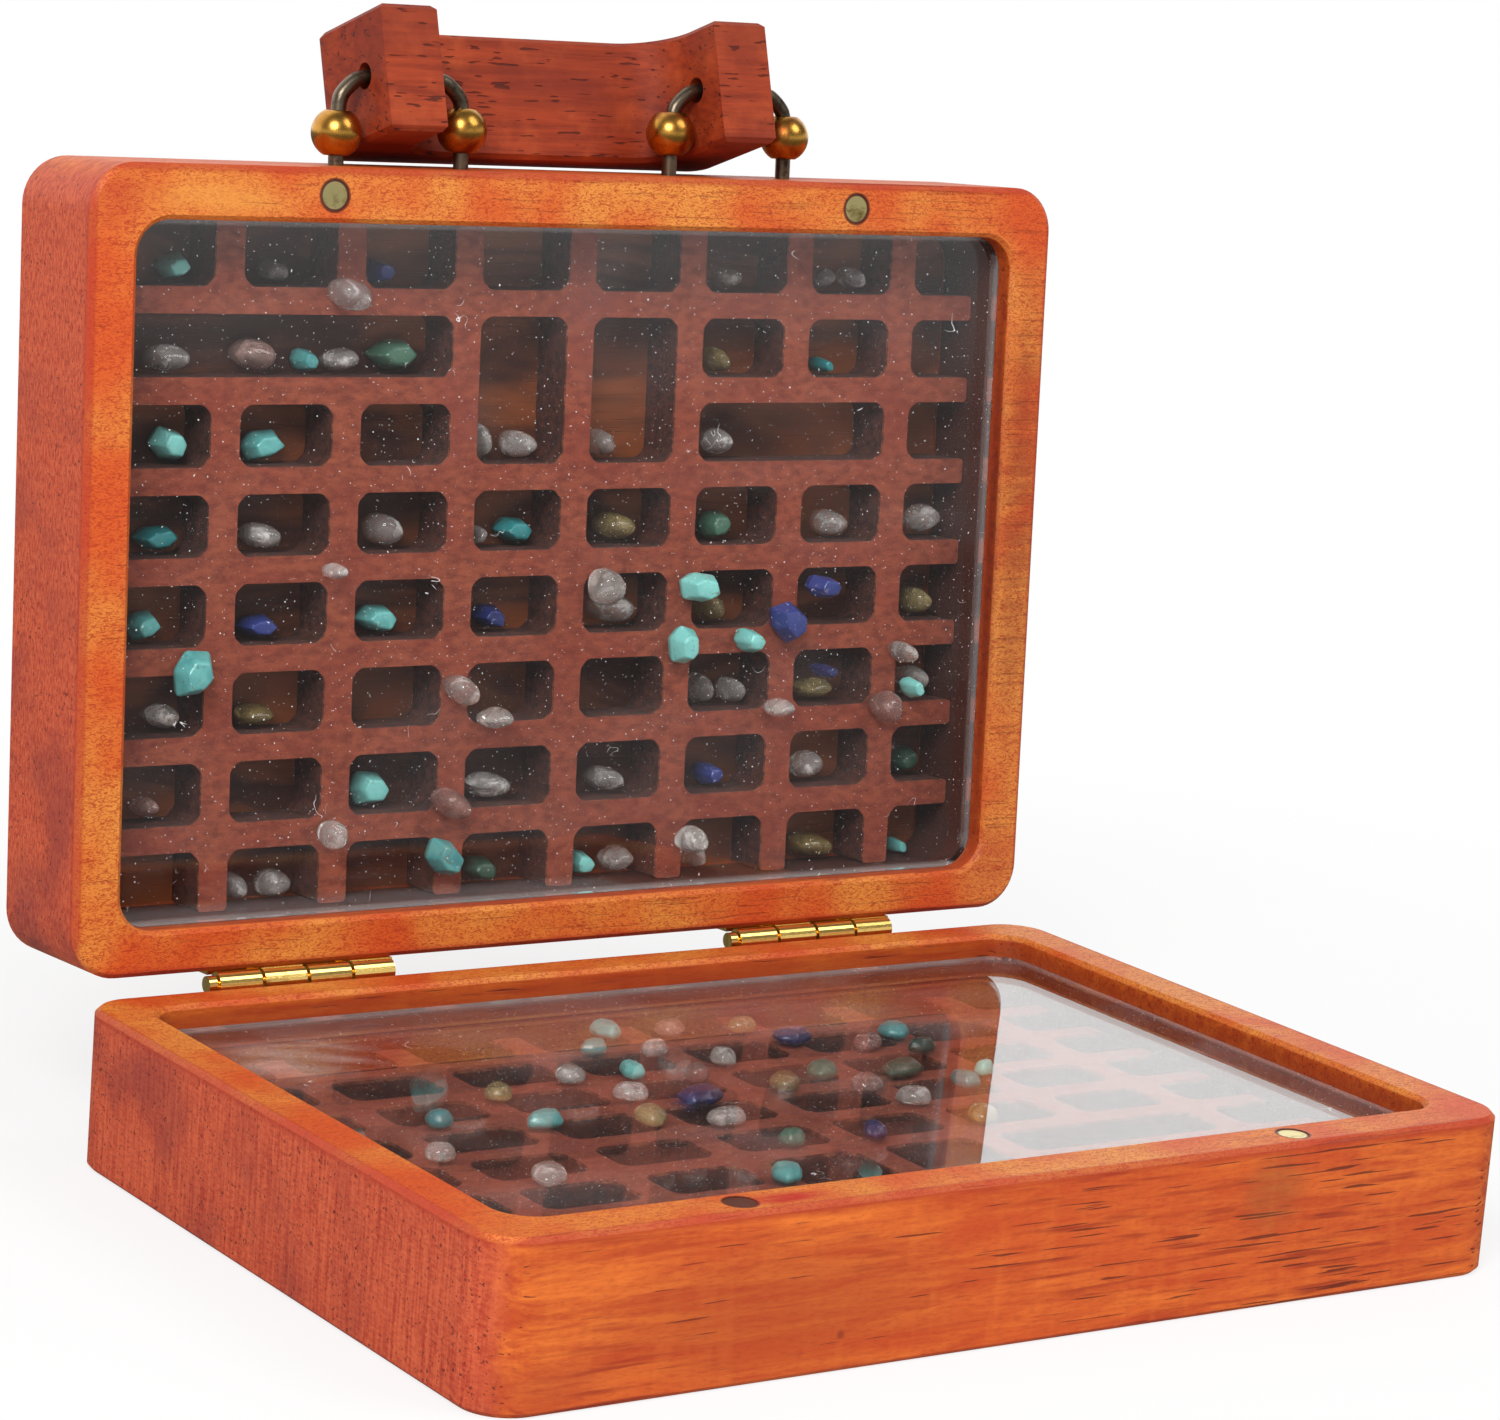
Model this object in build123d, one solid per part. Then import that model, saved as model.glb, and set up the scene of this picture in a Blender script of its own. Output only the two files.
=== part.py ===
"""A mineral specimen box: a small wooden case of two halves, hinged at the back and standing open.

Millimetres. The origin is the middle of the base's underside, X runs to the right, Y to the hinge side, Z up.
Each half is modelled in the base's place, rim up. The lid's pieces are mirrored, which lays them flat behind
the base, and then turned up about the hinge pins to the angle at which the lid stands.
"""
from build123d import *
import math
import os

# The case
WIDTH = 145.0
DEPTH = 100.0
HALF_HEIGHT = 20.0
CORNER_RADIUS = 6.0
EASED_EDGE = 0.6
SIDE_WALL = 6.4
FRONT_WALL = 6.8
HINGE_WALL = 5.6
POCKET_FLOOR = 3.0
POCKET_CORNER_RADIUS = 4.5
OPEN_ANGLE = 93.4

# The cell board and the pane in each half
BOARD_THICKNESS = 7.3
BOARD_CLEARANCE = 0.1
COLUMNS = 8
ROWS = 8
COLUMN_RIB = 4.0
ROW_RIB = 3.4
FIRST_COLUMN = 15.1
LAST_COLUMN = 9.9
FIRST_ROW = 8.5
LAST_ROW = 7.9
CELL_CORNER = 1.2
PANE_THICKNESS = 2.0
PANE_RECESS = 3.0
PANE_CLEARANCE = 0.1

# Cells that run together. Columns are lettered from the left and rows numbered from the front.
MERGED_CELLS = {"A2": "C2", "D2": "D3", "E2": "E3", "F3": "G3"}

# The closing magnets
MAGNET_RADIUS = 1.9
MAGNET_THICKNESS = 2.0
MAGNET_CLEARANCE = 0.05
MAGNET_SINK = 0.1
MAGNET_FROM_SIDE = 33.0
MAGNET_FROM_FRONT = 3.4

# The hinges
HINGES_FROM_SIDE = {"left": 32.0, "right": 34.8}
HINGE_LENGTH = 25.4
RIM_GAP = 0.4
PIN_STANDOFF = 1.6
KNUCKLES = 4
KNUCKLE_RADIUS = 1.5
KNUCKLE_SIDES = 24
KNUCKLE_SIDE_GAP = 0.5
PIN_RADIUS = 0.6
PIN_GRIP = 0.03
PIN_PLAY = 0.08
PIN_HEAD_RADIUS = 1.1
PIN_HEAD_LENGTH = 1.1
LEAF_THICKNESS = 0.8
LEAF_HEIGHT = 9.0
NAIL_RADIUS = 0.45
NAIL_HEAD_RADIUS = 1.0
NAIL_HEAD_HEIGHT = 0.45
NAIL_HEAD_SLOPE = 40.0
NAIL_DEPTH = 4.0
NAIL_FIT = 0.02
NAIL_SIDES = 12
NAIL_SPREAD = 8.0
NAIL_DROP = 6.2

# The handle on the lid's top side
HANDLE_SHIFT = -1.3
HANDLE_LENGTH = 58.1
HANDLE_ARM = 8.1
HANDLE_BAR = 5.0
HANDLE_HEIGHT = 16.2
HANDLE_AHEAD = 5.65
HANDLE_BEHIND = 12.8
HANDLE_INNER_RADIUS = 7.0
HANDLE_OUTER_RADIUS = 3.0
HANDLE_BORE_RADIUS = 1.7
HANDLE_TILT = 15.0
PIVOT_HEIGHT = 11.3

# The staples and their beads
WIRE_RADIUS = 1.05
WIRE_SIDES = 12
WIRE_BEND = 0.75
ARM_PLAY = 1.8
SHOULDER_WIDTH = 2.9
SHOULDER_HEIGHT = 2.7
LEG_DEPTH = 5.0
LEG_FIT = 0.02
BEAD_RADIUS = 3.25
BEAD_BORE_RADIUS = 1.3
BEAD_FACE = 0.3
BEAD_SIDES = 16
BEAD_BANDS = 5
BEAD_HEIGHTS = {
    "left_outer": 4.1,
    "left_inner": 4.9,
    "right_inner": 5.5,
    "right_outer": 5.5,
}

# Chips in front have slipped between the board and the pane. They lie flat in the base and are wedged in the
# standing lid: (x, y, length, width, turn in degrees), with x to the right and y toward the hinge side, in
# hundredths of the way from the pocket's middle to its walls. Chips in cells lie on the pocket floor against
# the cell's hinge-side wall: (cell, shift to the right from its middle, length, width).
CHIP_TO_PANE = 0.2
CHIP_LYING = 2.8
CHIP_IN_CELL = 5.0
CHIP_TO_WALL = 0.1
CHIP_BELLY = 0.4
CHIP_FOOT = 0.78
CHIP_CROWN = 0.62
BASE_FRONT_CHIPS = {
    "turquoise": [
        (-65, 26, 5, 4, 20), (-3, 90, 6, 5, 80), (-12, 75, 5, 4, 10), (-13.5, 51, 6, 3.5, 70),
        (53.5, 62.5, 6, 5, 30), (46, 11, 5, 5, 0), (-47, 16, 6, 5, 15), (-22.5, -48, 6, 5, 60),
        (54.5, 19, 4, 3, 0),
    ],
    "lapis": [(31, 67, 7, 5, 20), (-10, 22.5, 8, 6, 40), (8.5, -23, 6, 3.5, 60)],
    "clear_quartz": [
        (-75.5, -1.5, 4.5, 4, 0), (-1, 68.5, 4, 4, 30), (9, 54.5, 5, 4, 60), (-26.5, 52.5, 6, 5, 50),
        (-22, 31.5, 5, 5, 10), (-13.5, 2, 6, 5, 20), (29.5, 2, 5, 5, 30), (-63.5, -27.5, 7, 5.5, 50),
    ],
    "rose_quartz": [
        (10, 85.5, 6, 4.5, 15), (43, 54.5, 5, 4.5, 40), (-2.5, 42, 4.5, 4, 0), (25.5, 17, 6, 5, 60),
    ],
    "green": [(52, 45.5, 5, 4, 10), (22.5, 33, 6, 5, 0), (38.5, 27, 8, 5, 30), (-9, -21, 5, 4, 50)],
    "citrine": [
        (-46, 43, 5, 4, 60), (25.5, 82, 5, 4, 20), (-26.5, 10, 6, 5, 70), (10.5, 26, 6, 5, 70),
        (35, -19.5, 6, 5, 40),
    ],
}
LID_FRONT_CHIPS = {
    "turquoise": [
        (-81, 29.5, 7, 6.5, 70), (32.5, 9, 6.5, 5, 20), (29.5, 27, 6.5, 4.5, 80), (45.5, 26, 4.5, 4, 0),
        (-25, 87.5, 6, 5.5, 60), (87, 43, 3.5, 2.5, 80),
    ],
    "lapis": [(63.5, 10, 6, 3.5, 0), (55, 20.5, 7, 6, 35), (64.5, 36.5, 3, 2.5, 20)],
    "clear_quartz": [
        (-50, -79, 6.5, 5, 30), (-51.5, 1, 3, 2.5, 20), (10.5, 8, 6.5, 5.5, 0), (84.5, 31.5, 4, 3.5, 45),
        (53.5, 47.5, 4, 3, 0), (-22, 37.5, 6, 4.5, 20), (-14.5, 46.5, 5, 3.5, 0), (-50, 78.5, 5, 4, 80),
        (33.5, 87.5, 5, 4.5, 40),
    ],
    "rose_quartz": [(81, 49, 6, 5, 70), (-23.5, 71.5, 7, 4.5, 25)],
}
BASE_CELL_CHIPS = {
    "turquoise": [("C2", -1, 5, 4)],
    "clear_quartz": [("E4", 0, 6, 4.5), ("F2", -1, 6, 4)],
}
LID_CELL_CHIPS = {
    "turquoise": [
        ("A1", 4, 4.5, 4), ("B2", 4.8, 3.6, 3.5), ("G2", -1, 2.5, 2.5), ("A3", 4.2, 5.4, 5),
        ("B3", -1, 6.6, 4.5), ("A4", 2.6, 6.5, 4), ("D4", 2.3, 6, 4.2), ("A5", 1, 4.5, 4.5),
        ("C5", -0.7, 6.2, 4.5), ("C7", -1, 6.4, 5), ("E8", -2.7, 4.8, 4), ("H8", 0, 2.5, 2.5),
    ],
    "lapis": [("C1", -2, 4, 3.5), ("B5", -1, 5.6, 3.5), ("D5", -1, 5, 4), ("F7", 0.5, 4, 3.6)],
    "clear_quartz": [
        ("B1", 0, 4, 3.5), ("F1", 0, 4, 3.5), ("G1", -2, 4, 3.8), ("G1", 3.4, 4, 3.8), ("A2", 3.7, 7.5, 4),
        ("C2", -7.2, 5.4, 3.5), ("D3", -3.7, 4.4, 5.5), ("D3", 2.5, 6, 4.2), ("E3", -2, 4, 4.5),
        ("F3", -0.7, 5, 4.5), ("B4", -0.6, 6.6, 4), ("C4", 0, 6.6, 5), ("D4", -3.6, 2.6, 3),
        ("G4", 1.5, 6, 4.2), ("H4", 1.6, 5.4, 4.8), ("E5", 1, 8, 5), ("A6", 4, 5.4, 4),
        ("F6", -1.6, 4.4, 5), ("F6", 3.7, 4.4, 4), ("H6", 1.4, 6, 4.8), ("D7", 0, 8, 4), ("E7", 1, 6.4, 4),
        ("G7", -0.5, 5.2, 4.5), ("B8", -3.3, 4.6, 4.4), ("B8", 2.5, 5.2, 4.2), ("E8", 3.1, 5, 4.2),
        ("F8", -1.5, 3.6, 4.2),
    ],
    "rose_quartz": [("B2", -2.5, 7.5, 5), ("A7", 2, 3.4, 3.4)],
    "green": [("C2", 0.5, 7.4, 5), ("F4", -0.4, 5, 4.4), ("H7", 0.5, 4.6, 4.4), ("D8", -1, 5.4, 4.2)],
    "citrine": [
        ("F2", -1.2, 4, 4), ("E4", 1, 7.6, 4.5), ("F5", -0.5, 4.8, 4.6), ("H5", 1.4, 5.4, 4.4),
        ("B6", -1, 6.6, 3.2), ("G6", 0, 5.8, 3.5), ("G8", 1, 8, 4.4),
    ],
}

POCKET_WIDTH = WIDTH - 2 * SIDE_WALL
POCKET_DEPTH = DEPTH - FRONT_WALL - HINGE_WALL
POCKET_Y = (FRONT_WALL - HINGE_WALL) / 2
HINGE_Y = DEPTH / 2 + PIN_STANDOFF
HINGE_Z = HALF_HEIGHT + RIM_GAP / 2
BOARD_TOP = POCKET_FLOOR + BOARD_THICKNESS
PANE_TOP = HALF_HEIGHT - PANE_RECESS
CHIP_WEDGED = PANE_TOP - PANE_THICKNESS - BOARD_TOP - CHIP_TO_PANE
TOP_SIDE = 2 * HINGE_Y + DEPTH / 2
HINGE_CENTRES = {
    "left": HINGES_FROM_SIDE["left"] - WIDTH / 2,
    "right": WIDTH / 2 - HINGES_FROM_SIDE["right"],
}
MAGNET_X = WIDTH / 2 - MAGNET_FROM_SIDE
STAPLE_X = (HANDLE_LENGTH - HANDLE_ARM) / 2
LEG_SPREAD = HANDLE_ARM / 2 + BEAD_RADIUS + ARM_PLAY
HINGE_AXIS = Axis((0, HINGE_Y, HINGE_Z), (1, 0, 0))
PIVOT_AXIS = Axis((0, TOP_SIDE + PIVOT_HEIGHT, HALF_HEIGHT / 2), (1, 0, 0))


def block(width, depth, radius, bottom, top, y=0.0):
    """A plate with rounded upright corners between two heights."""
    return Pos(0, y, bottom) * extrude(RectangleRounded(width, depth, radius), top - bottom)


def drill(x, y, bottom, radius, depth):
    """An upright cylinder that stands on the height bottom."""
    return Pos(x, y, bottom + depth / 2) * Cylinder(radius, depth)


def along_x(x_from, x_to, y, z, radius):
    """A cylinder along X between two positions."""
    length = x_to - x_from
    return Pos(x_from + length / 2, y, z) * Rot(0, 90, 0) * Cylinder(radius, length)


def rod(x_from, x_to, y, z, radius, sides):
    """A many-sided rod along X between two positions."""
    return Pos(x_from, y, z) * Rot(0, 90, 0) * extrude(RegularPolygon(radius, sides), x_to - x_from)


def spike(x, y_from, y_to, z, radius, sides):
    """A many-sided rod along Y between two positions."""
    return Pos(x, y_from, z) * Rot(-90, 0, 0) * extrude(RegularPolygon(radius, sides), y_to - y_from)


def faceted(rings):
    """A solid with flat facets between rings of corners, each ring flat and a scaled copy of the next."""
    faces = [Face(Wire(Polyline(*ring, close=True).edges())) for ring in (rings[0], rings[-1])]
    for lower, upper in zip(rings, rings[1:]):
        for here in range(len(lower)):
            after = (here + 1) % len(lower)
            corners = (lower[here], lower[after], upper[after], upper[here])
            faces.append(Face(Wire(Polyline(*corners, close=True).edges())))
    return Solid(Shell(faces))


def stand_up(shape):
    """Turn a piece of the lid from flat behind the base to the angle at which the lid stands."""
    return shape.rotate(HINGE_AXIS, 180 - OPEN_ANGLE)


def to_lid(shape):
    """Move a piece from the base's place to the same place in the standing lid."""
    return stand_up(Pos(0, 2 * HINGE_Y, 0) * mirror(shape, about=Plane.XZ))


def nail_positions(hinge_x):
    return [hinge_x - NAIL_SPREAD, hinge_x + NAIL_SPREAD]


def nail_shank(x, y_to, radius):
    """A nail's many-sided shank, or the hole for it, from its point in the rear wall to a position behind."""
    return spike(x, DEPTH / 2 - NAIL_DEPTH, y_to, HINGE_Z - NAIL_DROP, radius, NAIL_SIDES)


def tray():
    """One half of the case: a pocketed block with magnet holes in the front rim and nail holes at the back."""
    body = block(WIDTH, DEPTH, CORNER_RADIUS, 0, HALF_HEIGHT)
    body -= block(POCKET_WIDTH, POCKET_DEPTH, POCKET_CORNER_RADIUS, POCKET_FLOOR, HALF_HEIGHT, POCKET_Y)
    faces = body.faces().sort_by(Axis.Z)
    body = chamfer(faces[0].edges() + faces[-1].edges(), EASED_EDGE)
    hole_depth = MAGNET_THICKNESS + MAGNET_SINK
    for x in (-MAGNET_X, MAGNET_X):
        y = -DEPTH / 2 + MAGNET_FROM_FRONT
        body -= drill(x, y, HALF_HEIGHT - hole_depth, MAGNET_RADIUS + MAGNET_CLEARANCE, hole_depth)
    for hinge_x in HINGE_CENTRES.values():
        for x in nail_positions(hinge_x):
            body -= nail_shank(x, DEPTH / 2, NAIL_RADIUS + NAIL_FIT)
    return body


def lid_tray():
    """The lid's half, with the blind holes for the staple legs in its top side."""
    holes = [
        spike(side * STAPLE_X + leg * LEG_SPREAD, -DEPTH / 2, -DEPTH / 2 + LEG_DEPTH, HALF_HEIGHT / 2,
              WIRE_RADIUS + LEG_FIT, WIRE_SIDES)
        for side in (-1, 1)
        for leg in (-1, 1)
    ]
    return to_lid(tray() - holes)


def spans(first, last, rib, count, size):
    """The start and end of each cell along a pocket side, with the middle cells all alike."""
    middle = (size - first - last - rib * (count - 1)) / (count - 2)
    widths = [first] + [middle] * (count - 2) + [last]
    starts = [-size / 2 + sum(widths[:i]) + rib * i for i in range(count)]
    return [(start, start + width) for start, width in zip(starts, widths)]


def cell(columns, rows):
    """The opening over some columns and rows, run out past the board at its edges."""
    beyond = COLUMN_RIB + CELL_CORNER
    x_from, x_to = columns[0][0], columns[-1][1]
    y_from, y_to = rows[0][0], rows[-1][1]
    x_from -= beyond if math.isclose(x_from, -POCKET_WIDTH / 2) else 0
    x_to += beyond if math.isclose(x_to, POCKET_WIDTH / 2) else 0
    y_from -= beyond if math.isclose(y_from, -POCKET_DEPTH / 2) else 0
    y_to += beyond if math.isclose(y_to, POCKET_DEPTH / 2) else 0
    opening = Pos((x_from + x_to) / 2, (y_from + y_to) / 2) * Rectangle(x_to - x_from, y_to - y_from)
    return chamfer(opening.vertices(), CELL_CORNER)


def cell_columns():
    return spans(FIRST_COLUMN, LAST_COLUMN, COLUMN_RIB, COLUMNS, POCKET_WIDTH)


def cell_rows():
    return spans(FIRST_ROW, LAST_ROW, ROW_RIB, ROWS, POCKET_DEPTH)


def cells(first, last):
    """The columns and rows of the cells from one named corner cell to another, such as A2 to C2."""
    columns = cell_columns()[ord(first[0]) - ord("A"):ord(last[0]) - ord("A") + 1]
    rows = cell_rows()[int(first[1:]) - 1:int(last[1:])]
    return columns, rows


def board():
    """The milled board of small cells that lies on the pocket floor."""
    outline = RectangleRounded(
        POCKET_WIDTH - 2 * BOARD_CLEARANCE, POCKET_DEPTH - 2 * BOARD_CLEARANCE, POCKET_CORNER_RADIUS
    )
    outline -= [cell([column], [row]) for column in cell_columns() for row in cell_rows()]
    outline -= [cell(*cells(first, last)) for first, last in MERGED_CELLS.items()]
    return Pos(0, POCKET_Y, POCKET_FLOOR) * extrude(outline, BOARD_THICKNESS)


def pane():
    return block(
        POCKET_WIDTH - 2 * PANE_CLEARANCE,
        POCKET_DEPTH - 2 * PANE_CLEARANCE,
        POCKET_CORNER_RADIUS - PANE_CLEARANCE,
        PANE_TOP - PANE_THICKNESS,
        PANE_TOP,
        POCKET_Y,
    )


def magnet(x):
    bottom = HALF_HEIGHT - MAGNET_SINK - MAGNET_THICKNESS
    return drill(x, -DEPTH / 2 + MAGNET_FROM_FRONT, bottom, MAGNET_RADIUS, MAGNET_THICKNESS)


def chip(x, y, length, width, turn, bottom, thickness):
    """A tumbled stone chip: an uneven six-sided pebble with flat facets, widest a little below its middle."""
    outline = []
    for corner in range(6):
        angle = math.radians(60 * corner)
        uneven = 1 + 0.14 * math.sin(2.4 * corner + 0.7 * x + 1.3 * y)
        outline.append((length / 2 * uneven * math.cos(angle), width / 2 * uneven * math.sin(angle)))
    levels = [(0, CHIP_FOOT), (CHIP_BELLY * thickness, 1), (thickness, CHIP_CROWN)]
    rings = [[(scale * a, scale * b, height) for a, b in outline] for height, scale in levels]
    return Pos(x, y, bottom) * Rot(0, 0, turn) * faceted(rings)


def chip_in_front(x, y, length, width, turn, thickness):
    """A chip between the board and the pane."""
    x, y = x / 100 * POCKET_WIDTH / 2, POCKET_Y + y / 100 * POCKET_DEPTH / 2
    return chip(x, y, length, width, turn, BOARD_TOP, thickness)


def chip_in_cell(name, shift, length, width):
    """A chip on the pocket floor, lying against the hinge-side wall of its cell."""
    [(x_from, x_to)], [(_, wall)] = cells(name, name)
    y = POCKET_Y + wall - width / 2 - CHIP_TO_WALL
    return chip((x_from + x_to) / 2 + shift, y, length, width, 0, POCKET_FLOOR, CHIP_IN_CELL)


def chips(front, in_cells, thickness):
    """All the chips of one mineral in one half, as separate stones in a group."""
    stones = [chip_in_front(*place, thickness) for place in front]
    stones += [chip_in_cell(*place) for place in in_cells]
    return Compound(children=stones)


def knuckle_ends(hinge_x, index):
    """Where one knuckle starts and ends along the pin, less half the gap on each side."""
    length = HINGE_LENGTH / KNUCKLES
    start = hinge_x - HINGE_LENGTH / 2 + index * length
    return start + KNUCKLE_SIDE_GAP / 2, start + length - KNUCKLE_SIDE_GAP / 2


def hinge_leaf(hinge_x, first_knuckle, bore_radius):
    """A leaf on the rear face with every second knuckle, cut back where the other leaf's knuckles turn."""
    y = DEPTH / 2
    plate_middle = Pos(hinge_x, y + LEAF_THICKNESS / 2, HINGE_Z - LEAF_HEIGHT / 2)
    leaf = plate_middle * Box(HINGE_LENGTH, LEAF_THICKNESS, LEAF_HEIGHT)
    clear_height = KNUCKLE_RADIUS + KNUCKLE_SIDE_GAP
    for index in range(KNUCKLES):
        x_from, x_to = knuckle_ends(hinge_x, index)
        if index % 2 == first_knuckle:
            leaf += rod(x_from, x_to, HINGE_Y, HINGE_Z, KNUCKLE_RADIUS, KNUCKLE_SIDES)
        else:
            notch_length = x_to - x_from + 2 * KNUCKLE_SIDE_GAP
            notch_middle = Pos((x_from + x_to) / 2, y + LEAF_THICKNESS / 2, HINGE_Z - clear_height / 2)
            leaf -= notch_middle * Box(notch_length, 2 * LEAF_THICKNESS, clear_height)
    leaf -= along_x(hinge_x - HINGE_LENGTH, hinge_x + HINGE_LENGTH, HINGE_Y, HINGE_Z, bore_radius)
    for x in nail_positions(hinge_x):
        leaf -= nail_shank(x, y + LEAF_THICKNESS, NAIL_RADIUS + NAIL_FIT)
    return leaf


def hinge_pin(hinge_x):
    """The pin, with a small round head at its left end."""
    left = hinge_x - HINGE_LENGTH / 2
    right = hinge_x + HINGE_LENGTH / 2
    head = rod(left - PIN_HEAD_LENGTH, left, HINGE_Y, HINGE_Z, PIN_HEAD_RADIUS, KNUCKLE_SIDES)
    return head + along_x(left, right, HINGE_Y, HINGE_Z, PIN_RADIUS)


def nail(x):
    """A nail with a low domed head, driven through the leaf into the rear wall."""
    y = DEPTH / 2 + LEAF_THICKNESS
    dome = extrude(RegularPolygon(NAIL_HEAD_RADIUS, NAIL_SIDES), NAIL_HEAD_HEIGHT, taper=NAIL_HEAD_SLOPE)
    return Pos(x, y, HINGE_Z - NAIL_DROP) * Rot(-90, 0, 0) * dome + nail_shank(x, y, NAIL_RADIUS)


def nails(hinge_x):
    return Compound(children=[nail(x) for x in nail_positions(hinge_x)])


def handle():
    """The C-shaped bracket, bored through both arms and laid back with the ends of its arms raised."""
    centre = Pos(HANDLE_SHIFT, (HANDLE_AHEAD - HANDLE_BEHIND) / 2)
    outline = centre * Rectangle(HANDLE_LENGTH, HANDLE_AHEAD + HANDLE_BEHIND)
    outline = fillet(outline.vertices().sort_by(Axis.Y)[:2], HANDLE_OUTER_RADIUS)
    opening = HANDLE_AHEAD + HANDLE_BEHIND - HANDLE_BAR
    between_arms = HANDLE_LENGTH - 2 * HANDLE_ARM
    recess = Pos(HANDLE_SHIFT, HANDLE_AHEAD - opening / 2) * Rectangle(between_arms, opening)
    outline -= fillet(recess.vertices().sort_by(Axis.Y)[:2], HANDLE_INNER_RADIUS)
    body = extrude(outline, HANDLE_HEIGHT / 2, both=True)
    body = chamfer(body.edges().filter_by(Axis.Z, reverse=True), EASED_EDGE)
    body -= along_x(-HANDLE_LENGTH, HANDLE_LENGTH, 0, 0, HANDLE_BORE_RADIUS)
    # The outline's Y becomes the way through the lid, and its height the way out from the lid's top side.
    on_side = Pos(0, TOP_SIDE + PIVOT_HEIGHT, HALF_HEIGHT / 2) * Rot(90, 0, 0) * body
    return stand_up(on_side.rotate(PIVOT_AXIS, -HANDLE_TILT))


def bent(points):
    """A path through some points, with each corner cut off as the wire's bend cuts it."""
    corners = [Vector(*point) for point in points]
    path = corners[:1]
    for before, corner, after in zip(corners, corners[1:], corners[2:]):
        path.append(corner + (before - corner).normalized() * WIRE_BEND)
        path.append(corner + (after - corner).normalized() * WIRE_BEND)
    return Polyline(*path, corners[-1])


def staple(x):
    """The bent wire that carries one arm of the handle, its legs set into the lid's top side."""
    shoulder_x, shoulder_y = LEG_SPREAD - SHOULDER_WIDTH, PIVOT_HEIGHT - SHOULDER_HEIGHT
    half = [(LEG_SPREAD, -LEG_DEPTH), (LEG_SPREAD, shoulder_y), (shoulder_x, PIVOT_HEIGHT)]
    path = bent(half + [(-a, b) for a, b in reversed(half)])
    path = Pos(x, TOP_SIDE, HALF_HEIGHT / 2) * path
    start = Plane(origin=path @ 0, x_dir=(1, 0, 0), z_dir=path % 0)
    wire = sweep(start * RegularPolygon(WIRE_RADIUS, WIRE_SIDES), path=path, transition=Transition.RIGHT)
    return stand_up(wire)


def bead(name):
    """A round bead on one staple leg, turned in a few bands."""
    side = -1 if name.startswith("left") else 1
    leg = side if name.endswith("outer") else -side
    middle = Pos(side * STAPLE_X + leg * LEG_SPREAD, TOP_SIDE + BEAD_HEIGHTS[name], HALF_HEIGHT / 2)
    end = math.acos((BEAD_BORE_RADIUS + BEAD_FACE) / BEAD_RADIUS)
    rings = []
    for band in range(BEAD_BANDS + 1):
        rise = end * (2 * band / BEAD_BANDS - 1)
        radius, height = BEAD_RADIUS * math.cos(rise), BEAD_RADIUS * math.sin(rise)
        turns = [2 * math.pi * corner / BEAD_SIDES for corner in range(BEAD_SIDES)]
        rings.append([(radius * math.cos(turn), radius * math.sin(turn), height) for turn in turns])
    ball = faceted(rings) - Cylinder(BEAD_BORE_RADIUS, 2 * BEAD_RADIUS)
    return stand_up(middle * Rot(90, 0, 0) * ball)


def pieces():
    """Every node of the box by name."""
    parts = {
        "base_tray": tray(),
        "base_grid": board(),
        "base_pane": pane(),
        "base_magnet_left": magnet(-MAGNET_X),
        "base_magnet_right": magnet(MAGNET_X),
        "lid_tray": lid_tray(),
        "lid_grid": to_lid(board()),
        "lid_pane": to_lid(pane()),
        "lid_magnet_left": to_lid(magnet(-MAGNET_X)),
        "lid_magnet_right": to_lid(magnet(MAGNET_X)),
        "handle": handle(),
        "left_staple": staple(-STAPLE_X),
        "right_staple": staple(STAPLE_X),
    }
    for mineral in BASE_FRONT_CHIPS:
        in_base = chips(BASE_FRONT_CHIPS[mineral], BASE_CELL_CHIPS.get(mineral, []), CHIP_LYING)
        in_lid = chips(LID_FRONT_CHIPS.get(mineral, []), LID_CELL_CHIPS.get(mineral, []), CHIP_WEDGED)
        parts[f"base_{mineral}_chips"] = in_base
        parts[f"lid_{mineral}_chips"] = to_lid(in_lid)
    for side, hinge_x in HINGE_CENTRES.items():
        parts[f"{side}_hinge_base_leaf"] = hinge_leaf(hinge_x, 0, PIN_RADIUS + PIN_GRIP)
        parts[f"{side}_hinge_lid_leaf"] = to_lid(hinge_leaf(hinge_x, 1, PIN_RADIUS + PIN_PLAY))
        parts[f"{side}_hinge_pin"] = hinge_pin(hinge_x)
        parts[f"{side}_hinge_base_nails"] = nails(hinge_x)
        parts[f"{side}_hinge_lid_nails"] = to_lid(nails(hinge_x))
    for name in BEAD_HEIGHTS:
        parts[f"{name}_bead"] = bead(name)
    return parts


os.makedirs("parts", exist_ok=True)
for name, part in pieces().items():
    part.label = name
    export_step(part, f"parts/{name}.step")
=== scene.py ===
# %% [markdown]
# # A mineral specimen box
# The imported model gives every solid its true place, so this script only adds finish. It loads the frame,
# gives each material the look of the real thing, puts finer stones, beads, staples and cell boards in the
# place of the plain ones, and sets up the picture.

import bmesh
import bpy
import math
import random
from mathutils import Matrix, Vector


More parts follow.
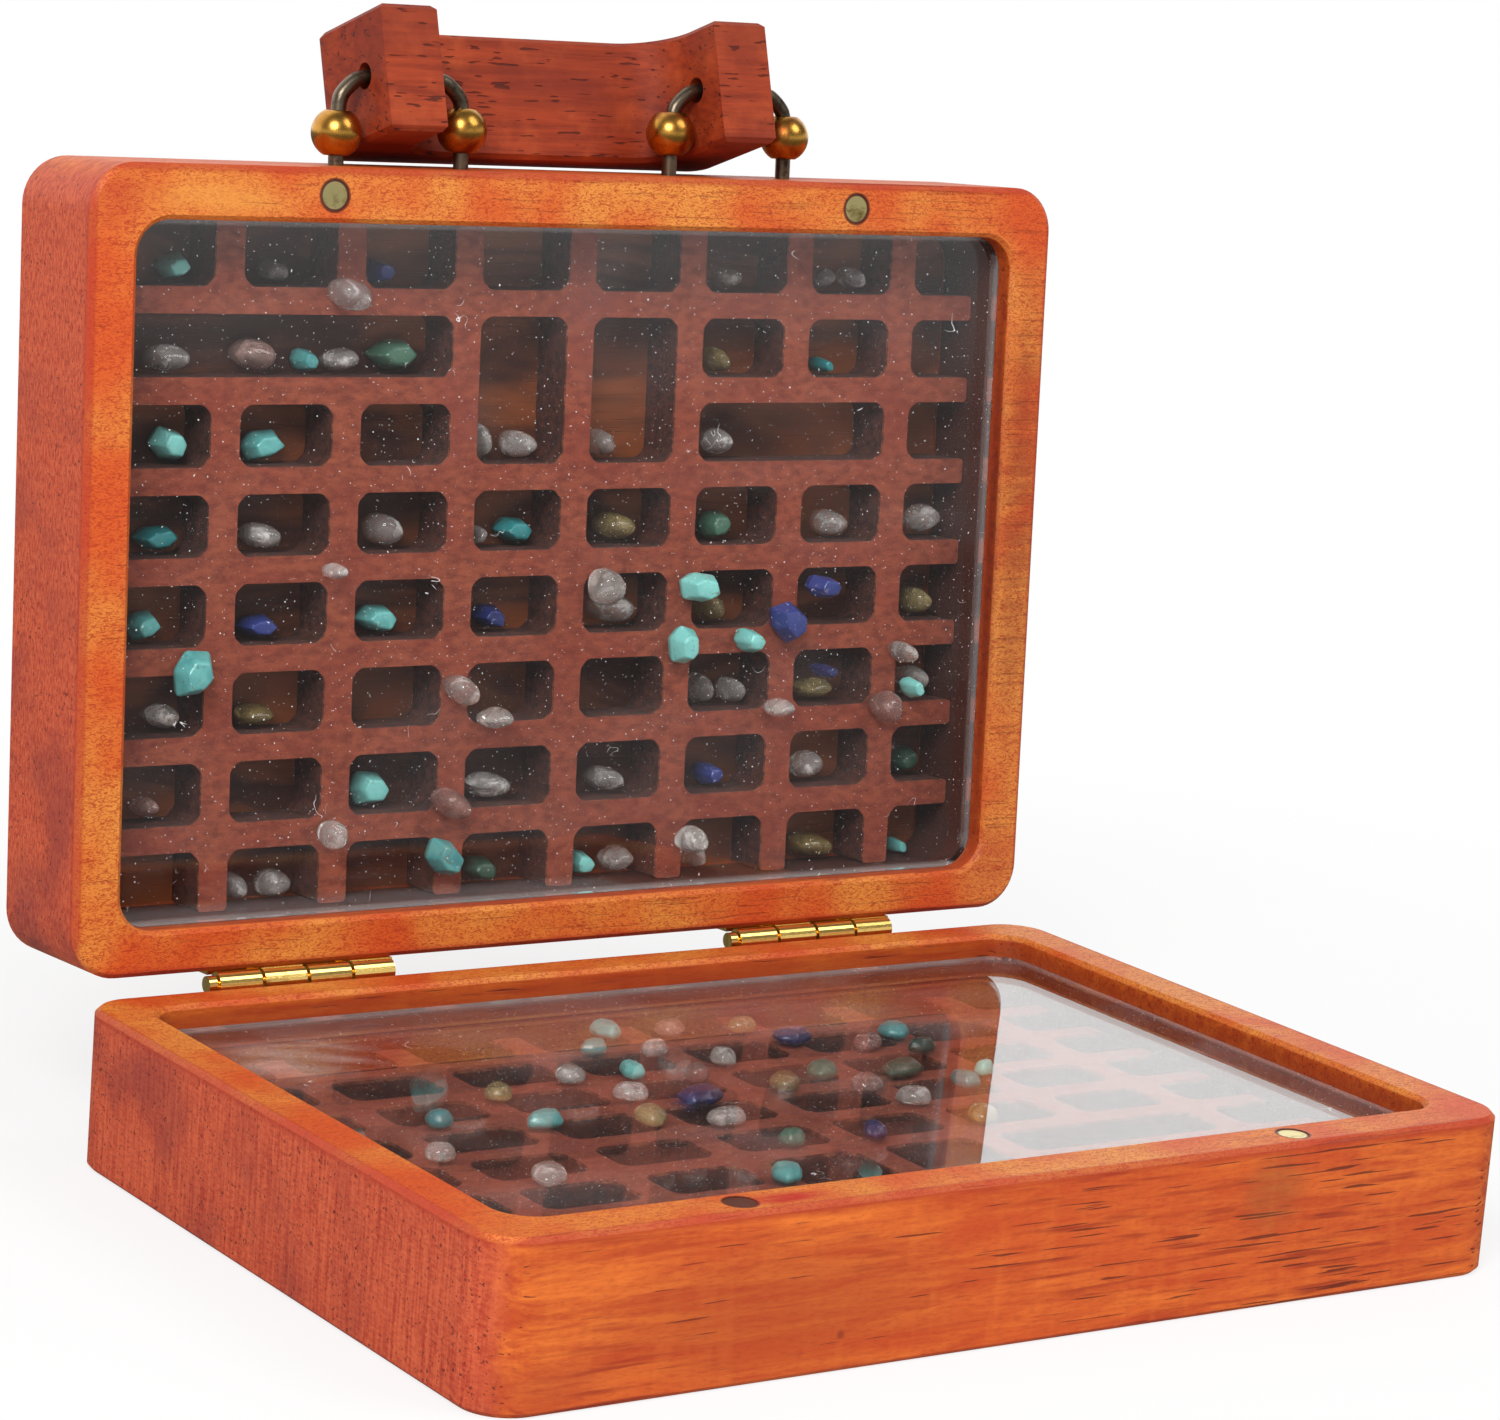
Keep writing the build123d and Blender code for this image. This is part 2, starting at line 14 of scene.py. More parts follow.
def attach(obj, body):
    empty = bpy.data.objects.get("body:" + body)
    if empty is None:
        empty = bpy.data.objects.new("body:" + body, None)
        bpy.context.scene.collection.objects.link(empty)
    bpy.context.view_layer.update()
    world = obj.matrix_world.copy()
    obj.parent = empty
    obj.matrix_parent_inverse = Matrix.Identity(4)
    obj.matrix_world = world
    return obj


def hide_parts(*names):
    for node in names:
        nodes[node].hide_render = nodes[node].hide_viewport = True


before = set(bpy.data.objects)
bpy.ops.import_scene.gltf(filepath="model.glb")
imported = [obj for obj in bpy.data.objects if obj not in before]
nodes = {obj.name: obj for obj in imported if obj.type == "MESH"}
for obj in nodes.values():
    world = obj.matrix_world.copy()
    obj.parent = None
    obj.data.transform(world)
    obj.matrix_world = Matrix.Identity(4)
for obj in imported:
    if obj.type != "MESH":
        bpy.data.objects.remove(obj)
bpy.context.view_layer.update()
MM = 0.001

# %% [markdown]
# ## The two halves
# Both halves are the same block of wood. A pattern that runs with the grain should sit the same way in
# each, so the materials of a half's wood, board and pane first turn their Object coordinates into the
# half's own: rim up, hinge side toward +Y. For the base these are the coordinates as they are. For the lid
# they are turned back about the hinge and mirrored.

# %% Sizes that several finishes share
HINGE_Y = 51.6 * MM
HINGE_Z = 20.2 * MM
LID_TURN = math.radians(86.6)
HALF_HEIGHT = 20 * MM
HALF_WIDTH = 72.5 * MM
HALF_DEPTH = 50 * MM
SIDE_WALL = 6.2 * MM
FRONT_WALL = 5.6 * MM
POCKET_FLOOR = 3 * MM
BOARD_TOP = 10.3 * MM
PANE_TOP = 17 * MM
PANE_HALF_WIDTH = 66 * MM
PANE_FRONT = -43.1 * MM
PANE_REAR = 44.3 * MM
# The magnets' places and radii are plain millimetres, because spot() below takes them so.
MAGNET_X = 39.5
MAGNET_Y = -46.6
MAGNET_DISC = 1.75
# The dark ring about each magnet in the wood is painted shade in the gap around it.
SHADE_RING = 2.3
lid_laid_flat = Matrix.Translation((0, HINGE_Y, HINGE_Z)) @ Matrix.Rotation(-LID_TURN, 4, "X")
lid_laid_flat = lid_laid_flat @ Matrix.Translation((0, -HINGE_Y, -HINGE_Z))
lid_to_own = Matrix.Diagonal((1, -1, 1, 1)) @ Matrix.Translation((0, -2 * HINGE_Y, 0)) @ lid_laid_flat
own_to_lid = lid_to_own.inverted()
print("middle of the lid's rim where it stands:", own_to_lid @ Vector((0, 0, HALF_HEIGHT)))


# %% [markdown]
# ## A short way to write materials
# Node materials get long when every socket is set by hand. These helpers add a node or two each, and take
# either a number or another node's output for any input, so that a recipe reads from top to bottom.

# %% Node helpers
def link(tree, value, socket):
    """Join an output to a socket, or set the socket to a plain value."""
    if isinstance(value, bpy.types.NodeSocket):
        tree.links.new(value, socket)
    else:
        socket.default_value = value


def add(tree, kind, inputs=(), **settings):
    """Add a node, set its properties and its inputs by name or number."""
    made = tree.nodes.new(kind)
    for name, value in settings.items():
        setattr(made, name, value)
    for name, value in dict(inputs).items():
        link(tree, value, made.inputs[name])
    return made


def math_node(tree, operation, first, second=0.0):
    return add(tree, "ShaderNodeMath", {0: first, 1: second}, operation=operation).outputs[0]


def times(tree, first, second):
    return math_node(tree, "MULTIPLY", first, second)


def plus(tree, first, second):
    return math_node(tree, "ADD", first, second)


def minus(tree, first, second):
    return math_node(tree, "SUBTRACT", first, second)


def larger(tree, first, second):
    return math_node(tree, "MAXIMUM", first, second)


def smaller(tree, first, second):
    return math_node(tree, "MINIMUM", first, second)


def noise(tree, vector, scale, detail=4.0, roughness=0.55, distortion=0.0):
    inputs = {"Vector": vector, "Scale": scale, "Detail": detail}
    inputs.update({"Roughness": roughness, "Distortion": distortion})
    return add(tree, "ShaderNodeTexNoise", inputs).outputs["Fac"]


def between(tree, value, low, high):
    """Nought below low, one above high, and a smooth rise between them. High may be the smaller one."""
    inputs = {"Value": value, "From Min": low, "From Max": high}
    return add(tree, "ShaderNodeMapRange", inputs, interpolation_type="SMOOTHSTEP").outputs["Result"]


def band(tree, value, low, high, fade):
    """One between low and high, with a smooth border that reaches inward."""
    rise = between(tree, value, low, low + fade)
    return times(tree, rise, between(tree, value, high, high - fade))


def ramp(tree, value, low, high, start, end):
    """A straight run from start at low to end at high, and flat beyond both."""
    inputs = {"Value": value, "From Min": low, "From Max": high, "To Min": start, "To Max": end}
    return add(tree, "ShaderNodeMapRange", inputs).outputs["Result"]


def mix(tree, factor, first, second):
    return add(tree, "ShaderNodeMix", {0: factor, 6: first, 7: second}, data_type="RGBA").outputs[2]


def layer(tree, look, amount, strength, tint):
    """A look with a tint over it where the amount says so, as strongly as the strength at most."""
    return mix(tree, times(tree, amount, strength), look, tint)


def stretched(tree, vector, scale, place=(0, 0, 0)):
    inputs = {"Vector": vector, "Scale": scale, "Location": place}
    return add(tree, "ShaderNodeMapping", inputs).outputs["Vector"]


def bump(tree, height, distance, strength=1.0):
    inputs = {"Height": height, "Distance": distance, "Strength": strength}
    return add(tree, "ShaderNodeBump", inputs).outputs["Normal"]


def colour(red, green, blue):
    """A colour as an eye dropper gives it, 0 to 255, turned into Blender's linear values."""
    def linear(value):
        value /= 255
        return value / 12.92 if value <= 0.04045 else ((value + 0.055) / 1.055) ** 2.4
    return linear(red), linear(green), linear(blue), 1.0


def new_material(name):
    """A material with one Principled shader, its tree and that shader."""
    material = bpy.data.materials.new(name)
    material.use_nodes = True
    tree = material.node_tree
    return material, tree, tree.nodes["Principled BSDF"]


def own_coordinates(tree, in_lid):
    """Object coordinates, for a lid's piece turned and mirrored into the lid's own place."""
    place = add(tree, "ShaderNodeTexCoord").outputs["Object"]
    if not in_lid:
        return place
    from_hinge = {"Vector": place, "Location": (0, -HINGE_Y, -HINGE_Z)}
    from_hinge = add(tree, "ShaderNodeMapping", from_hinge).outputs[0]
    flat = add(tree, "ShaderNodeMapping", {"Vector": from_hinge, "Rotation": (-LID_TURN, 0, 0)}).outputs[0]
    back = {"Vector": flat, "Location": (0, HINGE_Y, HINGE_Z), "Scale": (1, -1, 1)}
    return add(tree, "ShaderNodeMapping", back).outputs[0]


def finish(names, material):
    """Give CAD nodes or pieces a material."""
    for name in names:
        piece = nodes[name] if isinstance(name, str) else name
        piece.data.materials.clear()
        piece.data.materials.append(material)
    print(material.name, "on", len(names), "pieces")


# %% [markdown]
# ## New pieces in the place of CAD nodes
# A CAD node is never reshaped itself. A finer version starts from a copy of its mesh, or from nothing,
# rides the same body and takes the node's place in the picture.

# %% Helpers for new pieces
def merged_copy(node_name):
    """A CAD node's mesh with its corners joined and its flat triangles made whole faces again."""
    shape = bmesh.new()
    shape.from_mesh(nodes[node_name].data)
    bmesh.ops.remove_doubles(shape, verts=shape.verts, dist=0.01 * MM)
    bmesh.ops.join_triangles(shape, faces=shape.faces, angle_face_threshold=0.05, angle_shape_threshold=3.1)
    bmesh.ops.recalc_face_normals(shape, faces=shape.faces)
    return shape


def stand_in(node_name, name, shape, body):
    """Make a new piece from a shape and put it in a CAD node's place."""
    for face in shape.faces:
        face.smooth = True
    mesh = bpy.data.meshes.new(name)
    shape.to_mesh(mesh)
    shape.free()
    piece = bpy.data.objects.new(name, mesh)
    bpy.context.scene.collection.objects.link(piece)
    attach(piece, body)
    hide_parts(node_name)
    return piece


# %% [markdown]
# ## Stained wood
# The case is a mahogany-like wood under an orange-red stain. Its grain runs along the width, so the front
# shows long streaks and short dark pores like dashes, and the two ends show the cut pores as dots and take
# more stain. The rims are paler and shimmer in fine waves, with a darker line where the stain gathered
# along their outer edge. Textures squeezed along one axis give streaks on the long faces and dots on the
# ends from one recipe, as real grain does.

# %% Stained wood material
def spot(tree, place, centre, size, soft=0.5):
    """One inside an ellipsoid with half sizes in millimetres, fading to nought at its border."""
    off = stretched(tree, place, [1 / (s * MM) for s in size], [-c / s for c, s in zip(centre, size)])
    reach = add(tree, "ShaderNodeVectorMath", {0: off}, operation="LENGTH").outputs["Value"]
    return between(tree, reach, 1.0, soft)


def within_walls(tree, away, far, reach):
    """One inside the pocket's walls, with the border moved outward by a reach."""
    fade = 0.8 * MM
    side = HALF_WIDTH - SIDE_WALL + reach
    front = HALF_DEPTH - FRONT_WALL + reach
    sides = between(tree, away, side, side - fade)
    return times(tree, sides, between(tree, far, front, front - fade))


def stained_wood(name, in_lid, blots, speckle):
    """The case's wood. Speckle is the share of dots in the tone of the end grain, against combed lines."""
    material, tree, shader = new_material(name)
    place = own_coordinates(tree, in_lid)
    axes = add(tree, "ShaderNodeSeparateXYZ", {0: place}).outputs
    across, depth, height = axes[0], axes[1], axes[2]
    away = math_node(tree, "ABSOLUTE", across)
    far = math_node(tree, "ABSOLUTE", depth)
    shift = (0.4, 0.2, 0.1) if in_lid else (0, 0, 0)

    def grain(scale, detail=2.0, roughness=0.55, distortion=0.0):
        """Noise squeezed along each axis, and another part of it for the lid than for the base."""
        return noise(tree, stretched(tree, place, scale, shift), 1.0, detail, roughness, distortion)

    broad = grain((22, 70, 70), 3, 0.6, 0.8)
    streaks = grain((45, 500, 500), 6, 0.7, 0.6)
    fine = grain((700, 2600, 2600), 3, 0.6)
    ripple = grain((420, 60, 60))
    curls = grain((1000, 2400, 2400), 2.5, 0.75, 2.0)
    patches = noise(tree, place, 48.0, 2, 0.6)
    stripes = between(tree, grain((60, 1100, 1100), 2, 0.5), 0.52, 0.7)
    stripes = times(tree, stripes, between(tree, patches, 0.42, 0.62))
    to_right = between(tree, across, -20 * MM, 50 * MM)
    sparse = minus(tree, 0.75, times(tree, broad, 0.13))
    sparse = minus(tree, sparse, times(tree, to_right, 0.055))
    pores = minus(tree, grain((75, 2400, 2400), 1.5, 0.4), sparse)
    pores = between(tree, pores, 0.0, 0.04)
    on_rim = between(tree, height, HALF_HEIGHT - 0.9 * MM, HALF_HEIGHT - 0.3 * MM)
    on_end = between(tree, away, HALF_WIDTH - 3.5 * MM, HALF_WIDTH - 0.6 * MM)
    on_end = times(tree, on_end, minus(tree, 1.0, on_rim))

    face = mix(tree, between(tree, streaks, 0.3, 0.7), colour(176, 60, 14), colour(222, 112, 34))
    face = layer(tree, face, between(tree, broad, 0.4, 0.7), 0.7, colour(192, 70, 18))
    face = layer(tree, face, between(tree, ripple, 0.45, 0.75), 0.16, colour(232, 128, 46))
    face = layer(tree, face, between(tree, fine, 0.45, 0.7), 0.3, colour(150, 46, 12))
    face = layer(tree, face, stripes, 0.8, colour(146, 42, 10))
    rim = mix(tree, between(tree, patches, 0.35, 0.65), colour(206, 84, 26), colour(220, 140, 58))
    rim = layer(tree, rim, between(tree, curls, 0.46, 0.6), 0.8, colour(168, 48, 12))
    dotted = grain((900, 900, 2600), 4, 0.75)
    combed = grain((400, 1500, 110), 3, 0.6)
    end_tone = plus(tree, times(tree, dotted, speckle), times(tree, combed, 1 - speckle))
    end = mix(tree, between(tree, end_tone, 0.3, 0.66), colour(158, 38, 18), colour(206, 94, 54))
    end = layer(tree, end, between(tree, patches, 0.48, 0.68), 0.55, colour(128, 42, 40))
    dots = between(tree, grain((700, 1700, 1700), 1, 0.4), 0.68, 0.72)
    end = layer(tree, end, dots, 0.7, colour(84, 24, 22))
    look = mix(tree, on_rim, mix(tree, on_end, face, end), rim)

    edge = between(tree, away, HALF_WIDTH - 1.2 * MM, HALF_WIDTH - 0.5 * MM)
    edge = larger(tree, edge, between(tree, far, HALF_DEPTH - 1.2 * MM, HALF_DEPTH - 0.5 * MM))
    edge = times(tree, edge, between(tree, height, HALF_HEIGHT - 1.6 * MM, HALF_HEIGHT - 0.5 * MM))
    look = layer(tree, look, edge, 0.6, colour(160, 34, 16))
    dark_pores = times(tree, pores, minus(tree, 0.8, times(tree, on_rim, 0.6)))
    look = mix(tree, dark_pores, look, colour(92, 28, 10))
    # Painted shade: a dark ring in the gap about each magnet.
    for side in (-1, 1):
        centre = (side * MAGNET_X, MAGNET_Y, HALF_HEIGHT / MM)
        gap_shade = spot(tree, place, centre, (SHADE_RING, SHADE_RING, 1.5), 0.9)
        look = layer(tree, look, gap_shade, 0.85, colour(70, 20, 12))
    # Each blot is a stain, except the lid's last one, which is painted shade.
    for centre, size, strength, tint in blots:
        blot = spot(tree, place, centre, size, 0.2)
        blot = times(tree, blot, between(tree, streaks, 0.2, 0.6))
        look = layer(tree, look, blot, strength, tint)

    # The pocket floor mixes its own plain brown with a darker brown that is painted shade for the deep
    # cells.
    floor_tone_and_shade = mix(tree, between(tree, broad, 0.4, 0.65), colour(66, 32, 20), colour(140, 74, 36))
    on_floor = band(tree, height, POCKET_FLOOR - 0.6 * MM, POCKET_FLOOR + 0.6 * MM, 0.4 * MM)
    on_floor = times(tree, on_floor, within_walls(tree, away, far, 0.4 * MM))
    look = mix(tree, on_floor, look, floor_tone_and_shade)
    inside = within_walls(tree, away, far, 1.2 * MM)
    # Painted shade: the pocket's inner wall between the pane and the rim gets a deep red.
    under_rim = between(tree, height, HALF_HEIGHT - 0.3 * MM, PANE_TOP + MM)
    under_rim = times(tree, under_rim, between(tree, height, PANE_TOP - 0.4 * MM, PANE_TOP))
    look = layer(tree, look, times(tree, inside, under_rim), 0.5, colour(140, 44, 14))
    # The pocket's walls under the pane are dark brown: wood left unstained, and painted shade.
    under_pane = band(tree, height, POCKET_FLOOR + 0.2 * MM, PANE_TOP + 0.2 * MM, 0.6 * MM)
    look = mix(tree, times(tree, inside, under_pane), look, colour(66, 34, 26))

    link(tree, look, shader.inputs["Base Color"])
    shader.inputs["Specular IOR Level"].default_value = 0.35
    link(tree, ramp(tree, fine, 0.0, 1.0, 0.42, 0.66), shader.inputs["Roughness"])
    relief = minus(tree, times(tree, fine, 0.35), pores)
    link(tree, bump(tree, relief, 0.12 * MM, 0.7), shader.inputs["Normal"])
    return material


# Each entry has its centre and its half sizes in millimetres, its strength and its colour. Most are stains;
# the lid's last entry is painted shade.
BASE_STAINS = [
    ((-34.0, -47.0, 20.0), (7.5, 2.4, 1.2), 1.0, colour(178, 14, 12)),
    ((34.5, -50.0, 14.0), (6.5, 2.0, 6.5), 0.35, colour(112, 88, 44)),
    ((-27.0, -50.0, 4.4), (0.8, 1.0, 0.8), 0.8, colour(120, 30, 14)),
    ((63.0, 41.5, 17.5), (5.0, 4.0, 5.0), 0.6, colour(106, 22, 20)),
    ((-66.0, -50.0, 3.0), (14.0, 6.0, 4.0), 0.4, colour(150, 40, 22)),
    ((-36.0, -50.0, 8.0), (34.0, 4.0, 11.0), 0.45, colour(146, 46, 12)),
]
LID_STAINS_AND_SHADE = [
    ((-69.0, -46.0, 19.0), (6.0, 5.0, 6.0), 0.45, colour(176, 44, 24)),
    ((68.0, 44.0, 19.0), (8.0, 7.0, 6.0), 0.5, colour(170, 36, 20)),
    ((-70.0, 44.0, 6.0), (6.0, 12.0, 9.0), 0.6, colour(92, 34, 48)),
    ((69.5, -6.0, 20.0), (4.5, 46.0, 3.0), 0.6, colour(126, 40, 18)),
    ((-55.0, -46.0, 20.0), (13.0, 4.0, 2.0), 0.5, colour(222, 150, 64)),
    # Painted shade: a dark shadow line along the lid's right inner wall above the pane.
    ((66.3, 0.0, 18.4), (0.9, 52.0, 1.7), 1.0, colour(96, 26, 12)),
]
finish(["base_tray"], stained_wood("stained wood, base", False, BASE_STAINS, 0.5))
finish(["lid_tray"], stained_wood("stained wood, lid", True, LID_STAINS_AND_SHADE, 0.9))


# %% [markdown]
# ## Handle wood
# The handle is the same wood with a darker, redder stain and no polish. It was cut so that its grain runs
# along the bar, and its faces show fine streaks, darker patches and small dark pores.

# %% Handle material
def handle_wood():
    material, tree, shader = new_material("handle wood")
    place = add(tree, "ShaderNodeTexCoord").outputs["Object"]
    streaks = noise(tree, stretched(tree, place, (60, 420, 900)), 1.0, 5, 0.65, 0.3)
    mottle = noise(tree, place, 160.0, 4, 0.6)
    pores = noise(tree, stretched(tree, place, (280, 1300, 2200)), 1.0, 2, 0.4)
    pores = between(tree, pores, 0.65, 0.7)
    look = mix(tree, between(tree, streaks, 0.2, 0.8), colour(112, 32, 12), colour(162, 60, 24))
    look = layer(tree, look, between(tree, mottle, 0.45, 0.75), 0.45, colour(186, 82, 38))
    shadows = between(tree, noise(tree, place, 70.0, 2, 0.5), 0.5, 0.66)
    look = layer(tree, look, shadows, 0.5, colour(112, 34, 18))
    look = layer(tree, look, pores, 0.8, colour(66, 20, 14))
    link(tree, look, shader.inputs["Base Color"])
    shader.inputs["Roughness"].default_value = 0.62
    shader.inputs["Specular IOR Level"].default_value = 0.25
    relief = minus(tree, times(tree, streaks, 0.5), pores)
    link(tree, bump(tree, relief, 0.15 * MM, 0.8), shader.inputs["Normal"])
    return material


finish(["handle"], handle_wood())


# %% [markdown]
# ## Cell boards
# The boards behind the panes are milled from matt red-brown board. The cutter left their edges a little
# fuzzy, and the walls of the cells carry painted shade, a darker copy of the upper faces' colour.

# %% Cell board material
def cell_board(name, in_lid):
    material, tree, shader = new_material(name)
    place = own_coordinates(tree, in_lid)
    height = add(tree, "ShaderNodeSeparateXYZ", {0: place}).outputs[2]
    fibres = noise(tree, stretched(tree, place, (500, 900, 900)), 1.0, 5, 0.7)
    blotches = noise(tree, place, 90.0, 3)
    top = mix(tree, between(tree, fibres, 0.3, 0.7), colour(112, 46, 30), colour(152, 76, 50))
    top = layer(tree, top, between(tree, blotches, 0.4, 0.7), 0.5, colour(126, 44, 28))
    # Painted shade: the walls of the cells take a darker copy of the board's colour.
    shaded_wall = mix(tree, between(tree, fibres, 0.3, 0.7), colour(44, 22, 16), colour(86, 40, 26))
    fuzz = mix(tree, between(tree, fibres, 0.4, 0.7), colour(84, 38, 26), colour(168, 100, 70))
    near_top = between(tree, height, BOARD_TOP - 0.5 * MM, BOARD_TOP - 0.3 * MM)
    on_top = between(tree, height, BOARD_TOP - 0.06 * MM, BOARD_TOP - 0.01 * MM)
    link(tree, mix(tree, on_top, mix(tree, near_top, shaded_wall, fuzz), top), shader.inputs["Base Color"])
    shader.inputs["Roughness"].default_value = 0.85
    link(tree, bump(tree, fibres, 0.2 * MM, 0.8), shader.inputs["Normal"])
    return material


def worn_board(node_name, to_own):
    """A copy of a board with the upright corners of its cells made round."""
    board = merged_copy(node_name)
    rounded = board.edges.layers.float.new("bevel_weight_edge")
    for edge in board.edges:
        run = to_own.to_3x3() @ (edge.verts[1].co - edge.verts[0].co)
        edge[rounded] = float(abs(run.z) > 0.9 * run.length)
    worn = stand_in(node_name, node_name + "_worn", board, node_name.split("_")[0])
    worn.data.shade_flat()
    rounding = worn.modifiers.new("round corners", "BEVEL")
    rounding.limit_method = "WEIGHT"
    rounding.width = 0.5 * MM
    rounding.segments = 4
    return worn


finish([worn_board("base_grid", Matrix())], cell_board("cell board, base", False))
finish([worn_board("lid_grid", lid_to_own)], cell_board("cell board, lid", True))


# %% [markdown]
# ## Clear panes
# Each pane is a sheet of clear acrylic. Old dust hangs on it in a faint haze, a few white specks and short
# hairs, so the shader is glass that turns to pale matt wherever dust lies. Light has to reach the stones
# behind, and Cycles stops most light at glass, so a shadow ray or a diffuse ray sees the pane as plain air.

# %% Pane material
def clear_pane(name, in_lid, haze_strength, clouds):
    """Dusty acrylic. Each cloud of dust has its centre and half sizes in millimetres, and its strength."""
    material, tree, shader = new_material(name)
    place = own_coordinates(tree, in_lid)
    axes = add(tree, "ShaderNodeSeparateXYZ", {0: place}).outputs
    wisps = noise(tree, stretched(tree, place, (22, 40, 40)), 1.0, 5, 0.6, 1.0)
    wisps = between(tree, wisps, 0.4, 0.8)
    haze = times(tree, wisps, haze_strength)
    for centre, size, strength in clouds:
        cloud = times(tree, spot(tree, place, centre, size, 0.2), wisps)
        haze = larger(tree, haze, times(tree, cloud, strength))
    specks = between(tree, noise(tree, place, 2600.0, 1, 0.5), 0.74, 0.78)
    hair = minus(tree, noise(tree, place, 260.0, 1, 0.5, 0.8), 0.5)
    hairs = between(tree, math_node(tree, "ABSOLUTE", hair), 0.005, 0.002)
    hairs = times(tree, hairs, between(tree, noise(tree, place, 170.0, 1, 0.5), 0.72, 0.75))
    from_side = minus(tree, PANE_HALF_WIDTH, math_node(tree, "ABSOLUTE", axes[0]))
    from_rear = minus(tree, PANE_REAR, axes[1])
    from_front = minus(tree, axes[1], PANE_FRONT)
    from_edge = smaller(tree, from_side, smaller(tree, from_rear, from_front))
    edge_dust = times(tree, between(tree, from_edge, 0.8 * MM, 0.3 * MM), 0.09)
    bits = times(tree, larger(tree, specks, hairs), 0.7)
    dust = larger(tree, larger(tree, haze, bits), edge_dust)
    shader.inputs["Base Color"].default_value = (1, 1, 1, 1)
    shader.inputs["Roughness"].default_value = 0.015
    shader.inputs["IOR"].default_value = 1.49
    link(tree, minus(tree, 1.0, dust), shader.inputs["Transmission Weight"])
    air = add(tree, "ShaderNodeBsdfTransparent", {"Color": (0.97, 0.97, 0.97, 1)})
    passes = add(tree, "ShaderNodeLightPath").outputs
    see_through = larger(tree, passes["Is Shadow Ray"], passes["Is Diffuse Ray"])
    both = add(tree, "ShaderNodeMixShader", {0: see_through, 1: shader.outputs[0], 2: air.outputs[0]})
    tree.links.new(both.outputs[0], tree.nodes["Material Output"].inputs["Surface"])
    return material


BASE_CLOUDS = [
    ((-50.0, 26.0, 17.0), (20.0, 16.0, 3.0), 0.5),
    ((-10.0, -42.0, 17.0), (40.0, 9.0, 3.0), 0.55),
]
finish(["base_pane"], clear_pane("clear pane, base", False, 0.05, BASE_CLOUDS))
finish(["lid_pane"], clear_pane("clear pane, lid", True, 0.012, []))


# %% [markdown]
# ## Stones
# The CAD model holds each stone as a plain faceted pebble. Real tumbled chips are rounder and no two are
# alike. A copy of each pebble is merged and its corners are moved a little, out or in. The quartz and
# citrine stones are then subdivided, which rounds them all over, and the others get worn edges. The stones
# in the base lie on their sides, so they are flattened. Every stone also carries a random tone on its
# corners, so that one material can give each a shade of its own.

# %% Round the stones
LYING_FLAT = 0.72
SWOLLEN = (1.02, 1.16)
SHRUNK = (0.86, 1.0)
ROUNDING_LEVELS = 2


def tumbled(node_name, rounded):
    """A group of stones in the place of a CAD group, rounded all over or only at their edges."""
    rough = merged_copy(node_name)
    tone = rough.verts.layers.float.new("tone")
    unseen = set(rough.verts)
    draw = random.Random(node_name)
    for first in list(rough.verts):
        if first not in unseen:
            continue
        stone, ends = [], [first]
        unseen.remove(first)
        while ends:
            corner = ends.pop()
            stone.append(corner)
            for edge in corner.link_edges:
                other = edge.other_vert(corner)
                if other in unseen:
                    unseen.remove(other)
                    ends.append(other)
        middle = sum((corner.co for corner in stone), Vector()) / len(stone)
        shade = draw.random()
        for corner in stone:
            corner[tone] = shade
            swell = draw.uniform(*(SWOLLEN if rounded else SHRUNK))
            corner.co = middle + (corner.co - middle) * swell
            if node_name.startswith("base"):
                corner.co.z = middle.z + (corner.co.z - middle.z) * LYING_FLAT
    stones = stand_in(node_name, node_name + "_tumbled", rough, node_name.split("_")[0])
    if rounded:
        rounding = stones.modifiers.new("rounding", "SUBSURF")
        rounding.levels = rounding.render_levels = ROUNDING_LEVELS
    else:
        rounding = stones.modifiers.new("worn edges", "BEVEL")
        rounding.width = 0.45 * MM
        rounding.segments = 3
    return stones


# Each mineral's slot, and whether its stones are rounded all over.
MINERALS = {
    "turquoise": ("turquoise", False),
    "lapis": ("lapis", False),
    "clear_quartz": ("clear_quartz", True),
    "rose_quartz": ("rose_quartz", True),
    "green": ("green_stone", False),
    "citrine": ("citrine", True),
}
stones = {
    mineral: [tumbled(f"{half}_{mineral}_chips", rounded) for half in ("base", "lid")]
    for mineral, (slot, rounded) in MINERALS.items()
}
print("groups of stones:", sum(len(group) for group in stones.values()))


# %% [markdown]
# The solid minerals are opaque: turquoise with brown veins, lapis with paler flecks, and a mottled green.
# The quartzes and the citrine let light through, and are cloudy inside, so they mix transmission with a
# little body colour.

# %% Stone materials
def stone(name, dark, light, vein, clear=0.0, roughness=0.3):
    material, tree, shader = new_material(name)
    place = add(tree, "ShaderNodeTexCoord").outputs["Object"]
    tone = add(tree, "ShaderNodeAttribute", attribute_name="tone").outputs["Fac"]
    cloud = noise(tree, place, 420.0, 4, 0.6, 0.5)
    veins = between(tree, noise(tree, place, 700.0, 3, 0.7, 1.5), 0.6, 0.68)
    veins = times(tree, veins, 0.05 if clear else 0.6)
    shade = plus(tree, times(tree, tone, 0.6), times(tree, cloud, 0.5))
    look = mix(tree, between(tree, shade, 0.2, 0.9), dark, light)
    look = mix(tree, veins, look, vein)
    link(tree, look, shader.inputs["Base Color"])
    shader.inputs["Roughness"].default_value = roughness
    shader.inputs["IOR"].default_value = 1.54
    if clear:
        through = times(tree, between(tree, cloud, 1.0, 0.42), clear)
        link(tree, through, shader.inputs["Transmission Weight"])
    link(tree, bump(tree, cloud, 0.15 * MM, 0.02 if clear else 0.5), shader.inputs["Normal"])
    return material


